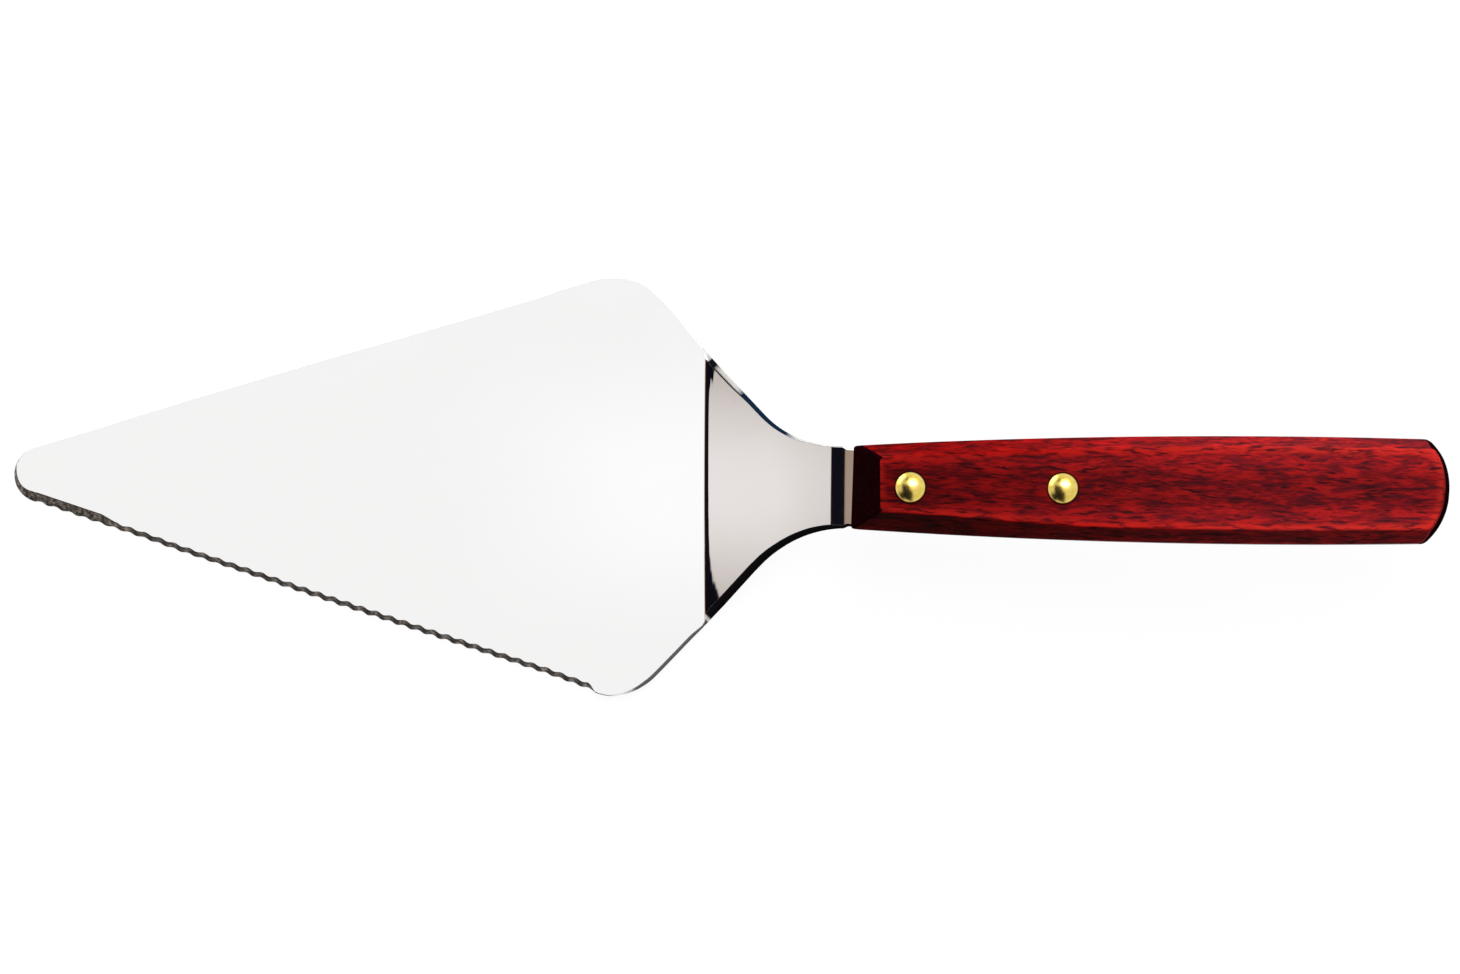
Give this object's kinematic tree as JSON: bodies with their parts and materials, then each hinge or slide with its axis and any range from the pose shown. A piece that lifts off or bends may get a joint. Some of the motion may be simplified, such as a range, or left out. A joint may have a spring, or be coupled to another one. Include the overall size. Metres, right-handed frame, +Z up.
{
  "type": "cake server",
  "caption": "Kite-shaped steel blade with one wavy edge and a raised neck, on a bevelled red wooden handle held by domed brass rivets; for cutting and lifting slices.",
  "frame": {"origin": "on the surface that the blade lies on, under the middle of the whole length and of the blade's width", "axes": "+X from the tip of the blade to the butt of the handle, +Z up from the surface that the blade lies flat on, and the wavy edge on the -Y side"},
  "size_m": [0.2839, 0.0838, 0.0409],
  "materials": {
    "blade_steel": "stainless steel sheet, finely polished",
    "handle_wood": "open-grained hardwood, stained deep red and lacquered",
    "rivet_brass": "polished brass"
  },
  "bodies": {
    "root": {"blade": "blade_steel", "handle": "handle_wood", "front_rivet_post": "rivet_brass", "front_rivet_sleeve": "rivet_brass", "rear_rivet_post": "rivet_brass", "rear_rivet_sleeve": "rivet_brass"}
  },
  "joints": []
}
